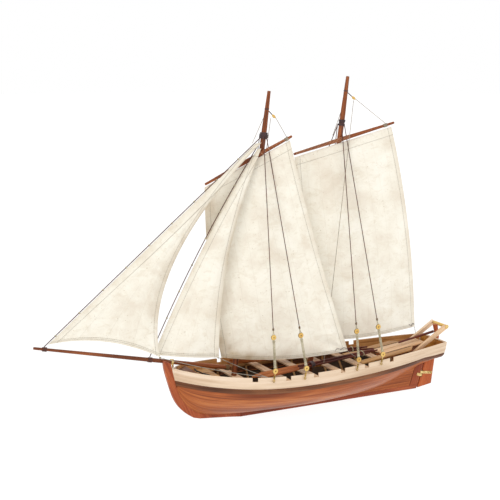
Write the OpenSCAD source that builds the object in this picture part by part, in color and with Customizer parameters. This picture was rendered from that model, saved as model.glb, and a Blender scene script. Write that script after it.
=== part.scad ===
// Two-masted ship's boat, a wooden display model with sails set.
// +X is forward, +Y is port, +Z is up. The origin is on the keel's underside, amidships.

/* [Hull] */
// Half the breadth at the rail, at the widest frame
half_beam = 67; // [65:0.5:68]
// Height of the rail amidships
rail_mid = 69.2; // [68:0.1:70]
// Thickness of the planking
plank_t = 1.6; // [1.4:0.1:1.8]
// Depth of the light top strake
strake_depth = 16.8; // [14:0.2:17.6]
// Depth of the brown wale under it
wale_depth = 7.2; // [5:0.2:8]
// How far the wale stands proud of the planking
wale_proud = 0.9; // [0.5:0.1:1.2]
// Thickness of the keel, stem and sternpost
keel_w = 6; // [5:0.5:6]
// Depth of the keel below the planking
keel_depth = 6.4; // [6:0.1:6.8]
// Width of a rowlock notch in the rail
notch_w = 8; // [6:0.5:9]
// Depth of a rowlock notch
notch_depth = 6; // [4:0.5:7]

/* [Inside] */
// Height of the upper face of the thwarts
thwart_z = 62; // [60:0.5:63]
// Fore-and-aft width of a thwart
thwart_w = 12; // [10:0.5:14]
// Height of the stern floor's fore end; the floor rises aft
floor_z = 66.8; // [66:0.2:67.4]

/* [Masts and yards] */
// Aftward rake of both masts, in degrees
mast_rake = 7.9; // [7.5:0.1:8.3]
// Height of the foremast's top
foremast_top = 462; // [455:1:463]
// Height of the mainmast's top
mainmast_top = 480; // [474:1:482]
// Diameter of a mast at the rail
mast_d = 7.8; // [7:0.1:8]
// Diameter of a mast at its top
mast_top_d = 4.8; // [4:0.1:5]
// Diameter of the bowsprit at its heel
bowsprit_d = 6.2; // [5.5:0.1:6.4]

/* [Rudder and davit] */
// Thickness of the rudder
rudder_t = 5.6; // [5:0.1:6]
// Radius of a rudder pintle
pintle_r = 1.1; // [1:0.05:1.3]
// Radial clearance of a moving pin in its hole
pin_gap = 0.05; // [0.02:0.01:0.08]
// Radius of the davit's axle pin
axle_r = 1; // [0.8:0.05:1.2]

/* [Rigging] */
// Diameter of shrouds and stays
stay_d = 1.2; // [1:0.1:1.4]
// Diameter of sheets, halyards and lanyards
line_d = 0.8; // [0.6:0.1:1]
// Diameter of a deadeye
deadeye_d = 7.6; // [7:0.1:8]
// Thickness of a sail
sail_t = 0.8; // [0.6:0.1:1]

/* [Hidden] */
$fn = 32;

LIGHT = "#e6cfa8";
RED_WOOD = "#a85c3a";
BROWN_WOOD = "#7c4f35";
SPAR_WOOD = "#6f4630";
BRASS = "#cfa550";
CLOTH = "#efe9dc";
DARK_ROPE = "#33261f";
PALE_ROPE = "#c9bd96";
half_w = keel_w / 2;
strake_low = strake_depth;
wale_low = strake_depth + wale_depth;

// ---- curves that the hull is drawn on ----

// Outline points are [key, value] pairs, joined by one smooth curve.
STEM_RABBET = [[6.4, 112], [8, 142], [11, 165], [16, 180], [23, 190], [31, 198], [43, 205.5],
               [57, 211], [67, 213.5], [79, 216.5], [90, 218.5]];
STEM_FRONT = [[0, 112], [2, 128], [4, 148], [7, 178], [12, 189.5], [19, 199], [30, 209],
              [44, 216.5], [67, 224], [86, 229], [97, 230]];
STERN_RABBET = [[6.4, -179.5], [12, -181.5], [27, -186.5], [36, -190], [41, -197],
                [44, -207.1], [49, -216.5], [54, -221.3], [62, -223.9], [78, -227.3]];
FULLNESS = [[-227, 4], [-206, 3.4], [-190, 2.5], [-180, 2.3], [-100, 2.8], [0, 3.4], [100, 3],
            [160, 2], [218, 1.3]];
HOLLOW = [[-227, 0.85], [-206, 0.85], [-190, 1.3], [-180, 1.6], [-100, 1.15], [0, 0.76], [100, 0.8],
          [160, 0.95], [218, 1.1]];

function swap(t) = [for (p = t) [p[1], p[0]]];
function span_of(t, x, i = 0) = (i >= len(t) - 2 || x <= t[i + 1][0]) ? i : span_of(t, x, i + 1);
function secant(t, i, j) = (t[j][1] - t[i][1]) / (t[j][0] - t[i][0]);
function slope_at(t, i) = secant(t, max(i - 1, 0), min(i + 1, len(t) - 1));
function smooth(t, x) =
    let (i = span_of(t, x), h = t[i + 1][0] - t[i][0], u = min(max((x - t[i][0]) / h, 0), 1))
    (2 * u^3 - 3 * u^2 + 1) * t[i][1] + (u^3 - 2 * u^2 + u) * h * slope_at(t, i)
    + (3 * u^2 - 2 * u^3) * t[i + 1][1] + (u^3 - u^2) * h * slope_at(t, i + 1);

function rabbet_z(x) = x < 112 ? keel_depth : smooth(swap(STEM_RABBET), x);
function rail_z(x) = let (u = (x + 2.75) / 222.65) rail_mid - 2.1 * u + 11.4 * u^2 + 6.3 * u^3;
function rail_y(x) =
    x > 40 ? 3 + (half_beam - 3) * (1 - min((x - 40) / 172, 1)^2.2)^0.7
           : half_beam - 34.8 * ((40 - x) / 265.4)^2.2;
// Foot of the full section: the rabbet, rising aft to the tuck of the stern
function foot_z(x) = x > -40 ? rabbet_z(x) : keel_depth + 37.6 * (min(-40 - x, 166) / 166)^3;
function hull_y(x, z) =
    let (s = min(max((z - foot_z(x)) / (rail_z(x) - foot_z(x)), 0), 1))
    half_w + (rail_y(x) - half_w) * (1 - (1 - s)^smooth(FULLNESS, x))^smooth(HOLLOW, x);
// A point of the hull's side, moved inward by depth along the surface normal
function skin(x, z, depth) =
    let (dx = hull_y(x + 0.5, z) - hull_y(x - 0.5, z),
         dz = hull_y(x, z + 0.5) - hull_y(x, z - 0.5),
         n = [-dx, 1, -dz] / norm([-dx, 1, -dz]))
    [x, hull_y(x, z), z] - depth * n;

// ---- general shapes ----

// Closed solid through rings of 2k points: k along the outside, then k back along the inside
module loft(rings) {
    m = len(rings[0]);
    n = len(rings);
    half = m / 2;
    sides = [for (i = [0 : n - 2]) for (k = [0 : m - 1])
        let (a = i * m + k, b = i * m + (k + 1) % m) each [[a, b, b + m], [a, b + m, a + m]]];
    caps = [for (e = [0, n - 1]) for (k = [0 : half - 2])
        let (a = e * m + k, b = a + 1, c = e * m + m - 2 - k, d = c + 1)
        each e == 0 ? [[a, d, c], [a, c, b]] : [[a, c, d], [a, b, c]]];
    polyhedron(points = [for (r = rings) each r], faces = concat(sides, caps));
}
// Straight round bar between two points
module bar(a, b, d1, d2) {
    v = b - a;
    translate(a)
        rotate([0, acos(v[2] / norm(v)), atan2(v[1], v[0])])
            cylinder(h = norm(v), d1 = d1, d2 = d2);
}
module line(a, b, d = line_d) bar(a, b, d, d);
// Turned spar between two points; its profile is a list of [part of the length, diameter]
module turned(a, b, profile) {
    v = b - a;
    translate(a)
        rotate([0, acos(v[2] / norm(v)), atan2(v[1], v[0])])
            rotate_extrude()
                polygon(concat([[0, 0]], [for (p = profile) [p[1] / 2, p[0] * norm(v)]], [[0, norm(v)]]));
}
// Cord with eight sides that turns at each of its points, in the plane of the keel or near it
module cord(route, d) {
    n = len(route);
    rings = [for (i = [0 : n - 1])
        let (v = route[min(i + 1, n - 1)] - route[max(i - 1, 0)], t = v / norm(v),
             side = cross(t, [0, 1, 0]), a = side / norm(side), b = cross(t, a))
        [for (k = [0 : 7]) route[i] + d / 2 * (cos(45 * k) * a + sin(45 * k) * b)]];
    sides = [for (i = [0 : n - 2]) for (k = [0 : 7])
        let (p = i * 8 + k, q = i * 8 + (k + 1) % 8) each [[p, p + 8, q], [q, p + 8, q + 8]]];
    caps = [[for (k = [0 : 7]) k], [for (k = [7 : -1 : 0]) 8 * n - 8 + k]];
    polyhedron(points = [for (r = rings) each r], faces = concat(sides, caps));
}
// Upright plate in the plane of the keel, cut to an outline of [x, z] points
module plate_xz(outline, width) rotate([90, 0, 0]) linear_extrude(width, center = true) polygon(outline);
module mirrored_pair() {
    children();
    mirror([0, 1, 0]) children();
}
module ring(at, r, wire)
    translate(at) rotate([90, 0, 0]) rotate_extrude() translate([r, 0]) circle(d = wire);

// ---- hull ----

// Rows of a planked band: band 0 is the bottom, band 1 is measured down from the rail
function row_z(x, row, band) =
    band == 0 ? rabbet_z(x) + (rail_z(x) - wale_low - rabbet_z(x)) * row : rail_z(x) - row;
function row_bow(row, band, x = 214, n = 5) =
    band == 0 ? 210.5 : n == 0 ? x : row_bow(row, band, smooth(STEM_RABBET, row_z(x, row, band)), n - 1);
function row_stern(row, band, x = -215, n = 5) =
    n == 0 ? x : row_stern(row, band, smooth(STERN_RABBET, row_z(x, row, band)), n - 1);
function band_point(u, row, band, depth) =
    let (x = row_bow(row, band) + (row_stern(row, band) - row_bow(row, band)) * u)
    skin(x, row_z(x, row, band), depth);
module band(rows, kind, outer, inner, stations = 30) {
    n = len(rows);
    loft([for (i = [0 : stations]) let (u = (i / stations)^1.4) concat(
        [for (k = [0 : n - 1]) band_point(u, rows[k], kind, outer)],
        [for (k = [n - 1 : -1 : 0]) band_point(u, rows[k], kind, inner)])]);
}
module bottom_side() band([for (v = [0 : 9]) (v / 9)^2], 0, 0, plank_t);
module wale_side() band([wale_low, (wale_low + strake_low) / 2, strake_low], 1, -wale_proud, plank_t);
notch_x = [117, 68, 24, -21, -63, -110];
module sheer_side() difference() {
    band([strake_low, strake_low * 2 / 3, strake_low / 3, 0], 1, 0, plank_t, 40);
    for (x = notch_x)
        translate([x - notch_w / 2, 20, rail_z(x) - notch_depth]) cube([notch_w, 60, 20]);
}
module bottom_planking_port() color(RED_WOOD) bottom_side();
module bottom_planking_starboard() color(RED_WOOD) mirror([0, 1, 0]) bottom_side();
module wale_port() color(BROWN_WOOD) wale_side();
module wale_starboard() color(BROWN_WOOD) mirror([0, 1, 0]) wale_side();
module sheer_strake_port() color(LIGHT) sheer_side();
module sheer_strake_starboard() color(LIGHT) mirror([0, 1, 0]) sheer_side();

post_slope = 0.313;
post_foot = -192.4;
module keel() color(RED_WOOD) plate_xz([
    [post_foot, 0], [112, 0], [112, keel_depth], [post_foot - keel_depth * post_slope, keel_depth]], keel_w);
module stem() color(RED_WOOD) plate_xz(concat(
    [for (k = [0 : 24]) let (z = 97 * (k / 24)^1.5) [smooth(STEM_FRONT, z), z]],
    [[219.5, 92.5]],
    [for (k = [24 : -1 : 0]) let (z = 6.4 + 83.6 * (k / 24)^1.5) [smooth(STEM_RABBET, z), z]]), keel_w);
module sternpost() color(RED_WOOD) difference() {
    plate_xz(concat(
        [for (k = [0 : 16]) let (z = 6.5 + 36.5 * k / 16) [smooth(STERN_RABBET, z) - 0.9, z]],
        [[post_foot - 42.6 * post_slope, 42.6], [post_foot - 6.5 * post_slope, 6.5]]), keel_w);
    on_hinge() translate([0, 0, pintle_z - 2.5]) cylinder(h = 9.6, r = half_w + 0.9);
}
module keelson() color(RED_WOOD) {
    plate_xz([[-90, 8.7], [110, 8.7], [110, 11], [-90, 11]], keel_w - 0.4);
    plate_xz([[-90, 6.5], [110, 6.5], [110, 8.7], [-90, 8.7]], 2.4);
}
module rib_side(x) {
    steps = 11;
    z0 = max(foot_z(x), rabbet_z(x)) + 3;
    loft([for (i = [0 : steps]) let (z = z0 + (rail_z(x) - strake_depth - z0) * (i / steps)^1.8) [
        skin(x - 1.5, z, plank_t + 0.4), skin(x + 1.5, z, plank_t + 0.4),
        skin(x + 1.5, z, plank_t + 2.4), skin(x - 1.5, z, plank_t + 2.4)]]);
}
rib_x = [for (i = [0 : 14]) -190 + 26 * i];
module ribs() color(LIGHT) for (x = rib_x) mirrored_pair() rib_side(x);
// Closes the hull aft between the planking's ends, from the tuck up to the rail
module transom() color(RED_WOOD) {
    steps = 14;
    top = rail_z(-226);
    tuck_z = 47.4;
    loft([for (i = [0 : steps])
        let (z = tuck_z + (top - tuck_z) * i / steps, x = smooth(STERN_RABBET, z) + 0.6,
             flare = hull_y(x, z + 0.5) - hull_y(x, z - 0.5),
             y = hull_y(x, z) - (plank_t + wale_proud) * norm([1, flare]) - 0.3,
             y_in = min(y, hull_y(x + 3, z) - (plank_t + wale_proud) * norm([1, flare])))
        [[x, -y, z], [x, y, z], [x + 3, y_in, z], [x + 3, -y_in, z]]]);
}

// ---- inside the hull ----

liner = plank_t + 2.9;
// Flat board between two frames, held clear of the ribs on both sides
function board_outline(x0, x1, z, inset, steps = 12) = concat(
    [for (k = [0 : steps]) let (x = x0 + (x1 - x0) * k / steps) [x, hull_y(x, z) - inset]],
    [for (k = [steps : -1 : 0]) let (x = x0 + (x1 - x0) * k / steps) [x, inset - hull_y(x, z)]]);
module board(x0, x1, z, t, inset = liner)
    translate([0, 0, z - t]) linear_extrude(t) polygon(board_outline(x0, x1, z - t, inset));
module breasthook() color(BROWN_WOOD) board(184, 203, 77, 3, plank_t + 1.2);
module riser_side() {
    steps = 16;
    z = thwart_z - 2.6;
    loft([for (i = [0 : steps]) let (x = 145 - 270 * i / steps) [
        skin(x, z - 4, liner - 0.4), skin(x, z, liner - 0.4),
        skin(x, z, liner + 1), skin(x, z - 4, liner + 1)]]);
}
module risers() color(LIGHT) mirrored_pair() riser_side();
module bottom_boards() color(LIGHT) difference() {
    board(-105, 120, 21, 2, liner + 6);
    mast_bore(fore_foot);
    mast_bore(main_foot);
    for (k = [-2 : 2]) translate([-110, k * 11 - 0.5, 0]) cube([240, 1, 30]);
}
module bow_platform() color(LIGHT) difference() {
    board(146, 182, 66, 2, liner + 1.4);
    for (k = [-2 : 2]) translate([140, k * 9 - 0.4, 0]) cube([60, 0.8, 80]);
}
thwart_x = [120, 66, 21, -24, -68, -112];
module thwarts() color(LIGHT) difference() {
    for (x = thwart_x) board(x - thwart_w / 2, x + thwart_w / 2, thwart_z, 2.4);
    mast_bore(fore_foot);
}
module mast_partner() color(LIGHT) difference() {
    translate([-17.9, -9, thwart_z - 2.4]) cube([32.8, 18, 2.4]);
    mast_bore(main_foot);
}
// Stern floor: boards that run fore and aft and rise aft, the outer ones cut off aslant
floor_fore = -122;
floor_slope = 0.12;
module floor_board(outline) translate([floor_fore, 0, floor_z]) rotate([0, atan(floor_slope), 0])
    translate([-floor_fore, 0, -2]) linear_extrude(2) polygon(outline);
module stern_floor() color(LIGHT) {
    mirrored_pair() {
        floor_board([[-199, 0.6], [floor_fore, 0.6], [floor_fore, 13.4], [-199, 13.4]]);
        floor_board([[-175, 16.4], [-77, 16.4], [-77, 30], [-163, 30]]);
    }
    board(-183, -175, 60, 3);
}

// ---- masts and spars ----

lean = sin(mast_rake) / cos(mast_rake);
fore_foot = [127.4, 0, 14];
main_foot = [2.4, 0, 14];
function mast_at(foot, z, side = 0) = [foot[0] - (z - foot[2]) * lean, side, z];
// Fraction of a mast's length where its upper taper begins
hounds_at = 0.885;
module mast_bore(foot) line(mast_at(foot, 16), mast_at(foot, 70), mast_d + 0.4);
module mast(foot, top) color(SPAR_WOOD)
    turned(foot, mast_at(foot, top),
        [[0, mast_d], [hounds_at, mast_d - 0.4], [1, mast_top_d]]);
module foremast() mast(fore_foot, foremast_top);
module mainmast() mast(main_foot, mainmast_top);
module mast_steps() color(BROWN_WOOD) difference() {
    for (f = [fore_foot, main_foot]) translate([f[0] - 11, -7, 11.1]) cube([22, 14, 5.6]);
    for (f = [fore_foot, main_foot]) bar(f, mast_at(f, 20), mast_d + 0.2, mast_d + 0.2);
}
sprit_heel = [122, -10, 70.5];
sprit_tip = [412.5, 0, 137];
function sprit_at(x) =
    sprit_heel + (sprit_tip - sprit_heel) * (x - sprit_heel[0]) / (sprit_tip[0] - sprit_heel[0]);
module bowsprit() color(SPAR_WOOD)
    turned(sprit_heel, sprit_tip, [[0, bowsprit_d], [0.44, bowsprit_d - 0.4], [1, 3.6]]);
module gammon_iron() color(BRASS) difference() {
    union() {
        line(sprit_at(212), sprit_at(215.5), bowsprit_d + 2);
        translate([212.5, -3.6, 84]) cube([2.5, 0.6, 6.5]);
        translate([212.5, -6, 88]) cube([2.5, 3, 1.2]);
    }
    line(sprit_at(205), sprit_at(225), bowsprit_d);
}
module heel_lashing() color(PALE_ROPE) for (k = [0 : 4]) let (x = 124.5 + 1.1 * k, c = sprit_at(x))
    translate(c) rotate([0, 77, 0]) rotate_extrude() translate([bowsprit_d / 2 + 0.5, 0]) circle(d = 1);

// Yard ends [forward end, aft end]; both yards hang on the port side of their masts
FORE_YARD = [[149.6, -31, 333], [42.5, 25, 400.5]];
MAIN_YARD = [[19, -11.6, 371], [-126, 25.5, 413.5]];
module yard(ends, mid_d, end_d) color(SPAR_WOOD)
    turned(ends[0], ends[1], [[0, end_d], [0.5, mid_d], [1, end_d]]);
module fore_yard() yard(FORE_YARD, 6.2, 3.4);
module main_yard() yard(MAIN_YARD, 5.8, 3.4);
collar_z = [400.5, 414];
module mast_collars() color(DARK_ROPE) difference() {
    for (m = [[fore_foot, collar_z[0]], [main_foot, collar_z[1]]])
        line(mast_at(m[0], m[1] - 4.5), mast_at(m[0], m[1] + 4.5), 10);
    foremast();
    mainmast();
}
FORE_BLOCK = [60, 4, 427];
MAIN_BLOCK = [-70, 4, 449];
module halyard_blocks() for (b = [FORE_BLOCK, MAIN_BLOCK]) {
    color(BRASS) translate(b) sphere(d = 5.4);
    color(PALE_ROPE) line(b + [1.5, -1, 2.5], b + [5.6, -3.2, 8.5]);
}

// ---- standing rigging ----

deadeye_x = [90, 42, -46, -90];
// Each shroud ends beside its mast, one a little forward of it and one a little aft
function hound_of(i) =
    mast_at(i < 2 ? fore_foot : main_foot, i < 2 ? 400 : 411, 5.8) + [i % 2 == 0 ? 3 : -1.5, 0, 0];
function lower_eye(i) = let (x = deadeye_x[i]) [x, rail_y(x) + 2.6, rail_z(x) + 10];
function upper_eye(i) = lower_eye(i) + (hound_of(i) - lower_eye(i)) * (i < 2 ? 0.143 : 0.121);
function toward(a, b, d) = a + d * (b - a) / norm(b - a);
module deadeye(at) translate(at) rotate([90, 0, 0]) difference() {
    cylinder(h = 3.2, d = deadeye_d, center = true);
    rotate_extrude() translate([deadeye_d / 2 + 0.4, 0]) circle(d = 2);
    cylinder(h = 5, d = 1.9, center = true);
}
module deadeyes_side() color(BRASS) for (i = [0 : 3]) {
    deadeye(lower_eye(i));
    deadeye(upper_eye(i));
}
module deadeyes_port() deadeyes_side();
module deadeyes_starboard() mirror([0, 1, 0]) deadeyes_side();
// Wire strop under each lower deadeye and the eyebolt that holds it to the strake
module chain_eyes() color(BRASS) mirrored_pair() for (i = [0 : 3]) {
    e = lower_eye(i);
    foot = [e[0] + 2, e[1] - 0.3, e[2] - 14.5];
    line(e + [0, 0, -deadeye_d / 2 - 0.2], foot + [0, 0, 1.9], 1.2);
    ring(foot, 1.5, 0.8);
    line([foot[0], rail_y(e[0]) - 1, foot[2] - 1.2], [foot[0], foot[1], foot[2] - 1.2], 0.9);
}
module lanyards() color(PALE_ROPE) mirrored_pair() for (i = [0 : 3]) {
    low = toward(lower_eye(i), upper_eye(i), deadeye_d / 2 + 0.1);
    high = toward(upper_eye(i), lower_eye(i), deadeye_d / 2 + 0.1);
    for (k = [-1 : 1]) line(low + [1.3 * k, 0, 0], high + [1.3 * k, 0, 0], 1);
}
module shrouds_side() color(DARK_ROPE) for (i = [0 : 3])
    line(toward(upper_eye(i), hound_of(i), deadeye_d / 2 + 0.1), hound_of(i), stay_d);
module shrouds_port() shrouds_side();
module shrouds_starboard() mirror([0, 1, 0]) shrouds_side();

// Fore stays as [lower end, upper end, sag at mid length]
JIB_STAY = [[398, -0.5, 137], [78, 0, 398.5], [0, 0, 0]];
STAYSAIL_STAY = [[247, -5.5, 103.2], [83.2, 1.4, 387.5], [8, 0, 0]];
function on_stay(stay, f) = stay[0] + (stay[1] - stay[0]) * f + stay[2] * 4 * f * (1 - f);
MAIN_STAY = [[-47, 0, 413], [-39, -7, 385], [108, -9, 82]];
module stays() color(DARK_ROPE) {
    line(JIB_STAY[0], JIB_STAY[1], stay_d);
    cord([for (i = [0 : 8]) on_stay(STAYSAIL_STAY, i / 8)], stay_d);
    cord(MAIN_STAY, stay_d);
}
module halyards() color(PALE_ROPE) {
    line(FORE_BLOCK + [-2, 1, -1], [49, 21.6, 399]);
    line(MAIN_BLOCK + [-2, 1, -1], [-113, 22.3, 412.6]);
    line(FORE_BLOCK + [1, -7, -3], [110, -12, 64]);
    line(MAIN_BLOCK + [4, 6.5, -3], [-9, 31.4, 71.6]);
    line(mast_at(fore_foot, 427) + [2.9, 0, 0], [91.4, 0, 390.6]);
    line(mast_at(main_foot, 432) + [3.1, 0, 0], [-40.6, -4.2, 395.8]);
}

// ---- sails ----

// A sail is drawn between its luff (forward edge) and leech (aft edge). Each edge is
// [lower end, upper end, bow of the edge]; foot is the bow of the lower edge.
function edge(e, t) = e[0] + (e[1] - e[0]) * t + 4 * t * (1 - t) * e[2];
function sail_point(sail, s, t) =
    edge(sail[0], t) + (edge(sail[1], t) - edge(sail[0], t)) * s
    + 4 * s * (1 - s) * ((1 - t)^2 * sail[2] + [0, sail[3] * 4 * t * (1 - t), 0]);
JIB = [[[393, 0.6, 139.6], [87.6, 1.7, 390.2], [0, 0.8, 0]],
       [[239, 12, 106], [79.8, 4.8, 391.5], [53, 2, -5]], [0, 0, 13], 6];
STAYSAIL = [[[241.8, -3.8, 106.5], [85.2, 2.9, 383], [7.2, 0, 0]],
            [[151, 12, 95], [81.6, 6, 383.6], [18, 3, 0]], [0, 2, -1.5], 5];
FORESAIL = [[[141, 1, 91], [149.5, -32.5, 328.8], [5, -2, 0]],
            [[-44, 40, 87], [44.5, 22.5, 394.5], [5, 2, 0]], [6, 3, -6.5], 9];
MAINSAIL = [[[6, 7, 102], [17, -12.5, 366.5], [0, -1, 0]],
            [[-174.5, 20, 104], [-123, 23, 407.5], [-8, 2, 0]], [0, 1, -7], 9];
module sail(shape, across = 12, up = 14) color(CLOTH)
    loft([for (j = [0 : up]) let (t = j / up) concat(
        [for (i = [0 : across]) sail_point(shape, i / across, t) - [0, sail_t / 2, 0]],
        [for (i = [across : -1 : 0]) sail_point(shape, i / across, t) + [0, sail_t / 2, 0]])]);
module jib() sail(JIB);
module staysail() sail(STAYSAIL);
module foresail() sail(FORESAIL);
module mainsail() sail(MAINSAIL);
module sheets() color(PALE_ROPE) {
    rail_pin = [100, rail_y(100) + 0.6, rail_z(100) + 1.2];
    line([238.5, 12, 105.2], rail_pin);
    line([150.6, 12.3, 94.3], rail_pin + [1, -1, 0]);
    line([-44.3, 40.4, 86.6], [-69, 23, 70]);
    line([-174.5, 20.3, 103.6], [-203, -17.4, 82.5]);
}
module hank(stay, f) {
    p = on_stay(stay, f);
    translate(p) rotate([0, 45, 0]) rotate_extrude() translate([1.3, 0]) circle(d = 0.7);
}
module sail_hanks() color(BRASS) {
    for (k = [0 : 8]) hank(JIB_STAY, 0.05 + 0.105 * k);
    for (k = [0 : 6]) hank(STAYSAIL_STAY, 0.06 + 0.125 * k);
}

// ---- rudder ----

// Frame of the rudder hinge: local Z runs up the raked axis, local X points forward
hinge_foot = [post_foot - 2, 0, 0];
hinge_lean = atan(post_slope);
pintle_z = 21.4;
module on_hinge() translate(hinge_foot) rotate([0, -hinge_lean, 0]) children();
module gudgeons() color(BRASS) on_hinge() translate([0, 0, pintle_z]) difference() {
    union() {
        translate([0, 0, -2.1]) cylinder(h = 4.2, r = half_w + 0.65);
        for (s = [-1, 1]) translate([0, s * (half_w + 0.35) - 0.3, -2.1]) cube([8, 0.6, 4.2]);
    }
    translate([0, 0, -3]) cylinder(h = 6, r = pintle_r + pin_gap);
    translate([2, -half_w - 0.02, -3]) cube([12, 2 * half_w + 0.04, 6]);
}
module rudder() color(RED_WOOD) difference() {
    plate_xz([
        [-195.3, 1], [-220.4, 4.6], [-225.5, 40.4], [-226.5, 54], [-233.4, 77], [-230.2, 97],
        [-224.2, 97], [-229.7, 77.5], [-225.3, 60], [-223.2, 52], [-214, 45.4], [-208.3, 42.4]], rudder_t);
    on_hinge() translate([0, 0, pintle_z - 3]) cylinder(h = 10.6, r = half_w + 0.9);
}
module pintles() color(BRASS) on_hinge() translate([0, 0, pintle_z]) {
    translate([0, 0, -2.8]) cylinder(h = 5.4, r = pintle_r);
    difference() {
        union() {
            translate([0, 0, 2.4]) cylinder(h = 4, r = rudder_t / 2 + 0.65);
            for (s = [-1, 1]) translate([0, s * (rudder_t / 2 + 0.35) - 0.3, 2.4])
                rotate([0, 9, 0]) translate([-19.5, 0, 0]) cube([19.5, 0.6, 4]);
        }
        translate([-30, -rudder_t / 2 - 0.02, 0]) cube([26.6, rudder_t + 0.04, 12]);
    }
}
module tiller() color(BROWN_WOOD)
    bar([-224.6, 0, 86.3], [-160, 0, 76], 4, 2.8);

// ---- stern davit ----

davit_axis = [-235, 96.6];
arm_y = 17;
// Drawn from its tip at the origin, with the foot forward and below
module davit_arm(side) translate([davit_axis[0], side * arm_y, davit_axis[1]])
    plate_xz([[-2.3, -0.6], [-2.1, 1.8], [1, 3.3], [61.2, -33.6], [57, -36.5], [-1.4, -2.8]], 4.6);
module davit_arms() color(LIGHT) difference() {
    for (s = [-1, 1]) davit_arm(s);
    translate([davit_axis[0], 0, davit_axis[1]])
        rotate([90, 0, 0]) cylinder(h = 60, r = axle_r, center = true);
}
module davit_axle() color(BRASS) translate([davit_axis[0], 0, davit_axis[1]]) rotate([90, 0, 0]) {
    cylinder(h = 2 * arm_y + 6.6, r = axle_r, center = true);
    for (s = [-1, 1]) translate([0, 0, s * (arm_y + 2.9)]) cylinder(h = 1, r = axle_r + 1, center = true);
}
module davit_roller() color(BROWN_WOOD) translate([davit_axis[0], 0, davit_axis[1]]) rotate([90, 0, 0])
    difference() {
        cylinder(h = 2 * arm_y - 6, r = 2.7, center = true);
        cylinder(h = 60, r = axle_r + pin_gap, center = true);
    }

// ---- gear in the boat ----

module anchor() color("#2b2522") {
    line([190, 17, 83], [170, 19, 72], 2);
    line([187, 11, 82.3], [189, 22, 82], 2);
    line([172, 8, 73], [168, 29, 73.5], 2.4);
}
module oar(a, b, side) {
    turned(a, b, [[0, oar_d], [0.68, oar_d], [1, 2.4]]);
    translate(a + (b - a) * 0.84) rotate([0, 0, side * 8])
        cube([60, 1.6, 7], center = true);
}
oar_d = 3.2;
oar_aft = [-118, 9, thwart_z + 8.8];
oar_fore = [112, 43, thwart_z + 6.4];
module oars_side(side) for (k = [0 : 2]) let (
    a = oar_aft + [9 * k, 3.6 * (k - 1), 2.6 * (k % 2)],
    b = oar_fore + [-5 * k, 3.6 * (k - 1), 2.6 * (k % 2)])
    oar([a[0], side * a[1], a[2]], [b[0], side * b[1], b[2]], side);
module oars_port() color(BROWN_WOOD) oars_side(1);
module oars_starboard() color(BROWN_WOOD) oars_side(-1);
module oar_lashings() color(DARK_ROPE) for (s = [-1, 1]) for (f = [0.555, 0.145])
    let (c = oar_aft + (oar_fore - oar_aft) * f)
    translate([c[0], s * c[1], c[2] + 1.3]) rotate([0, 90, s * 8]) difference() {
        cylinder(h = 6, r = 8.2, center = true);
        cylinder(h = 8, r = 7.4, center = true);
    }

keel();
stem();
sternpost();
keelson();
ribs();
bottom_planking_port();
bottom_planking_starboard();
wale_port();
wale_starboard();
sheer_strake_port();
sheer_strake_starboard();
transom();
breasthook();
risers();
bottom_boards();
bow_platform();
thwarts();
mast_partner();
stern_floor();
mast_steps();
foremast();
mainmast();
bowsprit();
gammon_iron();
heel_lashing();
fore_yard();
main_yard();
mast_collars();
halyard_blocks();
deadeyes_port();
deadeyes_starboard();
chain_eyes();
lanyards();
shrouds_port();
shrouds_starboard();
stays();
halyards();
sheets();
sail_hanks();
jib();
staysail();
foresail();
mainsail();
gudgeons();
rudder();
pintles();
tiller();
davit_arms();
davit_axle();
davit_roller();
anchor();
oars_port();
oars_starboard();
oar_lashings();
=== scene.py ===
"""Looks of a two-masted model sailing ship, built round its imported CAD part.

Shapes are worked out in millimetres in the part's frame (+X forward, +Y port, +Z up)
and become metres when a mesh is made.
"""

import math

import bmesh
import bpy
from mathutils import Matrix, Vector, noise


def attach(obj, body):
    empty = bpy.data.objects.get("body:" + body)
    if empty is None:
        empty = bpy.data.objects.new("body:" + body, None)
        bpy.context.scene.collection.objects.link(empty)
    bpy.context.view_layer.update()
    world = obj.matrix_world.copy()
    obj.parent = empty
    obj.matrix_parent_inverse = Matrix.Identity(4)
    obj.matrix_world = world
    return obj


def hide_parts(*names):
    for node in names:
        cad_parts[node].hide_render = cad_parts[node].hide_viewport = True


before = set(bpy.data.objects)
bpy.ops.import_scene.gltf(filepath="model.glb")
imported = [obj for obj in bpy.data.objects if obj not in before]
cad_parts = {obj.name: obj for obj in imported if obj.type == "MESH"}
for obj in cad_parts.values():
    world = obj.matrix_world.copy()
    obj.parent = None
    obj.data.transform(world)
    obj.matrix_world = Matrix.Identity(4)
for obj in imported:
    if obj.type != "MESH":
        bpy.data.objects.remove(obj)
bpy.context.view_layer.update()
MM = 0.001
TAU = 2 * math.pi


# ---------- node materials


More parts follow.
